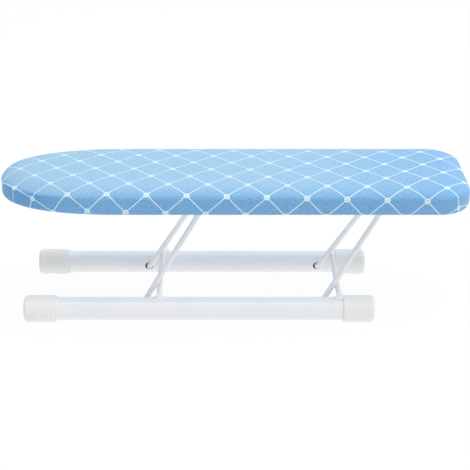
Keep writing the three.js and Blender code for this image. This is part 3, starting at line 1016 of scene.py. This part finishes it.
def coverGrid():  # points of the cloth, where each lies on the flat cut, and how much painted light it has there
    side = sideRows()
    columns = []
    for station in stations:
        columns.append([(inset, crownZ(station, inset), 0.0) for inset in crownInsets()] + side)
    points = []
    cuts = []
    paintedLight = []
    for share in shares(boardMake["topRings"])[:-1]:  # from the middle line out to the rim ring
        for plan, z in middleRing(share ** boardMake["ringPower"]):
            points.append(Vector((plan.x + boardX, plan.y, z + topSoftness(plan.x, plan.y))))
            cuts.append((plan.x + boardX, plan.y))
            paintedLight.append(paintedTopLight(plan.x))
    runs = [-boardMake["rimInset"]] * len(stations)
    for row in range(len(columns[0])):  # over the shoulder, down the side and in under the board
        for index, station in enumerate(stations):
            inset, z, gather = columns[index][row]
            if row:
                slack = 1 + boardMake["noseSlack"] * station["tight"]
                runs[index] += math.dist(columns[index][row - 1][:2], (inset, z)) * slack
            plan = station["point"] - station["out"] * inset
            soft = topSoftness(plan.x, plan.y) * max(0, min(1, -runs[index] / boardMake["rimInset"]))
            points.append(coverPoint(station, inset, z + soft, gather, gathers[index]))
            cut = station["point"] + station["out"] * runs[index]
            cuts.append((cut.x + boardX, cut.y))
            onCrown = row <= boardMake["crownSteps"]
            paintedLight.append(paintedShoulderLight(station, inset) if onCrown else paintedSideLight(station))
    return points, cuts, paintedLight


def flatSize(edge):  # (width, length) and area inside the edge of the flat cut
    area = abs(sum(a.x * b.y - b.x * a.y for a, b in zip(edge, edge[1:] + edge[:1]))) / 2
    width = max(cut.y for cut in edge) - min(cut.y for cut in edge)
    length = max(cut.x for cut in edge) - min(cut.x for cut in edge)
    print(f"flat cut {width:.4f} by {length:.4f} m, {area:.4f} square metres")
    return (width, length), area


def makeCover():
    points, cuts, paintedLight = coverGrid()
    total = len(stations)
    cover = newObject("coverCloth", points, gridFaces(len(points) // total, total), cotton)
    mesh = cover.data
    layer = mesh.uv_layers.new(name="flatCut")
    for loop in mesh.loops:
        layer.data[loop.index].uv = cuts[loop.vertex_index]
    # painted light and shade for the cloth's colour, kept as a point attribute
    mesh.attributes.new("paintedLight", "FLOAT", "POINT").data.foreach_set("value", paintedLight)
    weld(mesh)
    thick = cover.modifiers.new("clothThickness", "SOLIDIFY")
    thick.thickness = boardMake["clothThickness"]
    thick.offset = -1
    bake(cover)
    return cover, *flatSize([Vector(cut) for cut in cuts[-total:]])


spongeMake = {
    "rings": 8, "crownStride": 2, "stationStride": 4,  # of the rows and stations that the cover has
    "softFrom": 0.75,  # share of its height above which the sponge is uneven
}


def makeSponge(make):
    depth = coverHigh.z - padHigh.z
    spread = shares(make["rings"])
    rings = []
    for share in spread:  # flat underside, then up round the edge and over the crowned top
        rings.append([(plan, padLow.z) for plan, z in middleRing(share)])
    for inset in crownInsets()[::-make["crownStride"]]:
        edge = []
        for station in stations:
            plan = station["point"] - station["out"] * (inset + depth)
            edge.append((plan, max(padLow.z, crownZ(station, inset) - depth)))
        rings.append(edge)
    rings += [middleRing(share, depth) for share in spread[-2::-1]]
    points = []
    softFrom = make["softFrom"]
    for ring in rings:
        for plan, z in ring[::make["stationStride"]]:
            height = (z - padLow.z) / (padHigh.z - padLow.z)
            soft = topSoftness(plan.x, plan.y) * max(0, (height - softFrom) / (1 - softFrom))
            points.append(Vector((plan.x + boardX, plan.y, z + soft)))
    faces = gridFaces(len(rings), len(points) // len(rings))
    sponge = newPiece("spongeFill", points, faces, foam)
    weld(sponge.data)
    return sponge


def makeHemCord():
    path = []
    inset = hemMake["cordInset"]
    z = coreLow.z - hemMake["cordDrop"]
    for index in range(0, len(stations), hemMake["cordStride"]):
        path.append(coverPoint(stations[index], inset, z, hemMake["seamGather"], gathers[index]))
    points, faces = sweptShape(path, hemMake["cordRadius"], hemMake["cordSides"], looped=True)
    return newPiece("hemCord", points, faces, thread)


stitchMake = {
    "length": 0.0024, "gap": 0.0009, "radius": 0.00024, "steps": 4, "sides": 6,
    "drop": 0.00045,  # below the hem's outer part
    "dip": 0.0004, "dipPower": 4,  # of the stitch's ends into the cloth
}


def makeStitches(make):
    z = coreLow.z - hemMake["drop"] - make["drop"]
    seam = []
    for station, gather in zip(stations, gathers):
        seam.append(coverPoint(station, hemMake["stitchInset"], z, hemMake["seamGather"], gather))
    seam.append(seam[0])
    runs = lineRuns(seam)
    count = int(runs[-1] / (make["length"] + make["gap"]))
    pitch = runs[-1] / count
    points = []
    faces = []
    for stitch in range(count):
        path = []
        for share in shares(make["steps"]):
            dip = make["dip"] * (2 * share - 1) ** make["dipPower"]
            run = stitch * pitch + share * make["length"]
            path.append(pointAt(seam, runs, run % runs[-1]) + Vector((0, 0, dip)))
        addShape(points, faces, sweptShape(path, make["radius"], make["sides"]))
    print("hem stitches:", count)
    return newPiece("hemStitches", points, faces, thread, sharpAngle=80)


sponge = makeSponge(spongeMake)
finishPiece(sponge, "board", "sponge", "sponge_pad")
hemCord = makeHemCord()
finishPiece(hemCord, "board", "elastic", "hem_elastic")
stitches = makeStitches(stitchMake)
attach(stitches, "board")
cover, cutSize, cutArea = makeCover()
finishPiece(cover, "board", "cover_cloth", "fabric_cover")
coreNode = frame["nodes"]["core_board"]
coreNode.data.materials.clear()
coreNode.data.materials.append(fibre)
print("board covered")


# Floor and light

stageMake = {
    "floorSize": 24.0, "floorWhite": 0.96,
    "floorGlow": 0.93,  # share of the floor's white that the shadow can't dim, as it is seen
    "floorLift": 0.9,  # the same share in the light that the floor sends back up
    "skyStrength": 0.72, "skyColour": (0.985, 0.99, 1.0),
    "skyTilt": (0.5, 0.12, 0),  # shares by which the sky is brighter to the right and behind than overhead
    "lampPlace": (0.3, -0.05, 1.9), "lampAim": (0, 0, 0.1), "lampSize": 2.4, "lampPower": 27.5,
}


def seenDirectly(finish):  # 1 for the camera's own rays and for those that gloss or glass sends on
    rays = put(finish, "ShaderNodeLightPath", {}).outputs
    mirrored = figure(finish, "MAXIMUM", rays["Is Glossy Ray"], rays["Is Transmission Ray"])
    return figure(finish, "MAXIMUM", rays["Is Camera Ray"], mirrored)


def makeFloor(make):
    half = make["floorSize"] / 2
    corners = [(-half, -half, 0), (half, -half, 0), (half, half, 0), (-half, half, 0)]
    finish = bpy.data.materials.new("paleFloor")
    finish.use_nodes = True
    tree = finish.node_tree
    tree.nodes.remove(tree.nodes["Principled BSDF"])
    white = make["floorWhite"]
    matt = put(finish, "ShaderNodeBsdfDiffuse", {"Color": (white, white, white, 1)})
    glow = put(finish, "ShaderNodeEmission", {"Strength": 1.0})
    levels = {"To Min": make["floorLift"], "To Max": make["floorGlow"]}
    share = put(finish, "ShaderNodeMapRange", {"Value": seenDirectly(finish), **levels}).outputs["Result"]
    mix = put(finish, "ShaderNodeMixShader", {0: share, 1: matt.outputs[0], 2: glow.outputs[0]})
    tree.links.new(mix.outputs[0], tree.nodes["Material Output"].inputs["Surface"])
    floor = newObject("floor", corners, [(0, 1, 2, 3)], finish)


def makeLight(make):
    world = bpy.data.worlds.new("studio")
    world.use_nodes = True
    scene.world = world
    tree = world.node_tree
    sky = tree.nodes["Background"]
    sky.inputs["Color"].default_value = (*make["skyColour"], 1)
    skyward = put(world, "ShaderNodeTexCoord", {}).outputs["Generated"]
    tilt = put(world, "ShaderNodeVectorMath", {0: skyward, 1: make["skyTilt"]}, operation="DOT_PRODUCT")
    share = figure(world, "ADD", 1.0, tilt.outputs["Value"])
    level = figure(world, "MULTIPLY", share, make["skyStrength"])
    tree.links.new(level, sky.inputs["Strength"])
    white = put(world, "ShaderNodeBackground", {"Color": (1, 1, 1, 1), "Strength": 1.0})
    mix = put(world, "ShaderNodeMixShader", {0: seenDirectly(world), 1: sky.outputs[0], 2: white.outputs[0]})
    tree.links.new(mix.outputs[0], tree.nodes["World Output"].inputs["Surface"])
    lamp = bpy.data.lights.new("softBox", "AREA")
    lamp.size = make["lampSize"]
    lamp.energy = make["lampPower"]
    box = bpy.data.objects.new("softBox", lamp)
    box.location = make["lampPlace"]
    aim = Vector(make["lampAim"]) - box.location
    box.rotation_euler = aim.to_track_quat("-Z", "Y").to_euler()
    scene.collection.objects.link(box)


makeFloor(stageMake)
makeLight(stageMake)
scene.view_settings.view_transform = "Standard"
print("floor and light set")
